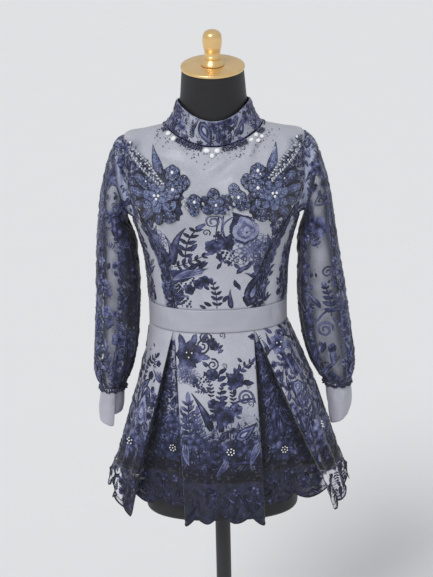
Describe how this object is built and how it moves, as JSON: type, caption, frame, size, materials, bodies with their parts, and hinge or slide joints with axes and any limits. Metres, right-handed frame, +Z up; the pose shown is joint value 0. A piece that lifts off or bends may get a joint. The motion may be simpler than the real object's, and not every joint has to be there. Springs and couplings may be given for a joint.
{
  "type": "kebaya blouse on limbless dress form",
  "caption": "Fitted high-neck kebaya blouse of embroidered tulle over satin, with pleated peplum and sheer bishop sleeves, on a black limbless dress form and stand.",
  "frame": {"origin": "centre of the round base's underside, on the floor", "axes": "+Z up along the pole, -Y the way the blouse faces, +X to the wearer's left"},
  "size_m": [0.539, 0.36, 1.5616],
  "materials": {
    "form_black": "smooth black lacquered fibreglass, softly matt",
    "gilt": "gold-coloured lacquer on turned metal, satin gloss",
    "stand_metal": "black powder-coated steel",
    "lace_on_satin": "silver-lavender satin under navy embroidered tulle",
    "satin": "silver-lavender bridal satin, soft sheen",
    "tulle": "sheer navy tulle with corded embroidery",
    "applique": "raised navy and lilac thread flowers with small beads",
    "zip_tape": "woven tape over a concealed coil",
    "crystal": "clear and white cut resin stones, polished"
  },
  "bodies": {
    "root": {"form_torso": "form_black", "form_cap": "gilt", "form_finial": "gilt", "form_pole": "stand_metal", "form_base": "stand_metal", "bodice_front_centre": "lace_on_satin", "bodice_front_side_left": "lace_on_satin", "bodice_front_side_right": "lace_on_satin", "bodice_back_left": "lace_on_satin", "bodice_back_right": "lace_on_satin", "collar": "lace_on_satin", "back_zip": "zip_tape", "waistband": "satin", "peplum_front": "lace_on_satin", "peplum_back_left": "lace_on_satin", "peplum_back_right": "lace_on_satin", "lace_border_front": "tulle", "lace_border_back_left": "tulle", "lace_border_back_right": "tulle", "sleeve_left": "tulle", "sleeve_right": "tulle", "sleeve_lining_left": "satin", "sleeve_lining_right": "satin", "cuff_left": "satin", "cuff_right": "satin", "applique_left": "applique", "applique_centre": "applique", "applique_right": "applique", "crystal_1": "crystal", "crystal_2": "crystal", "crystal_3": "crystal", "crystal_4": "crystal", "crystal_5": "crystal", "crystal_6": "crystal", "crystal_7": "crystal", "crystal_8": "crystal", "crystal_9": "crystal"}
  },
  "joints": []
}
